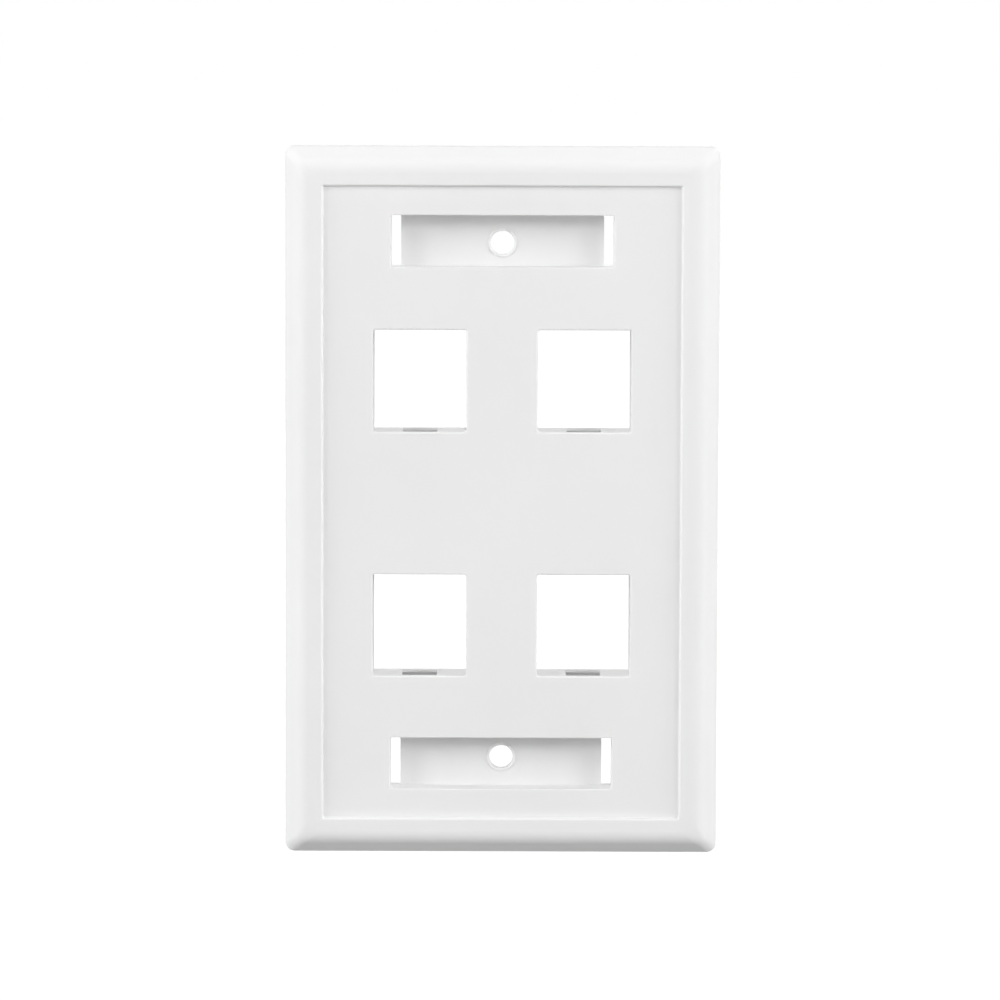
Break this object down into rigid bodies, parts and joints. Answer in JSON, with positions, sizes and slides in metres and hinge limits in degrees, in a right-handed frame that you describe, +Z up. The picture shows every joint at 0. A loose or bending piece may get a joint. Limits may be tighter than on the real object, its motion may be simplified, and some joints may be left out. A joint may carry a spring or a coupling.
{
  "type": "keystone wall plate",
  "caption": "Flat rectangular wall plate with a rounded border, a sunk panel, square snap-in jack ports and a label well over each screw hole.",
  "frame": {"origin": "on the wall plane, midway between the two screw holes", "axes": "+Z up the wall, -Y out of the wall towards the room, +X to the right as seen from the room"},
  "size_m": [0.0698, 0.0106, 0.1142],
  "materials": {
    "white_abs": "satin, fine mould grain"
  },
  "bodies": {
    "root": {"faceplate": "white_abs"}
  },
  "joints": []
}
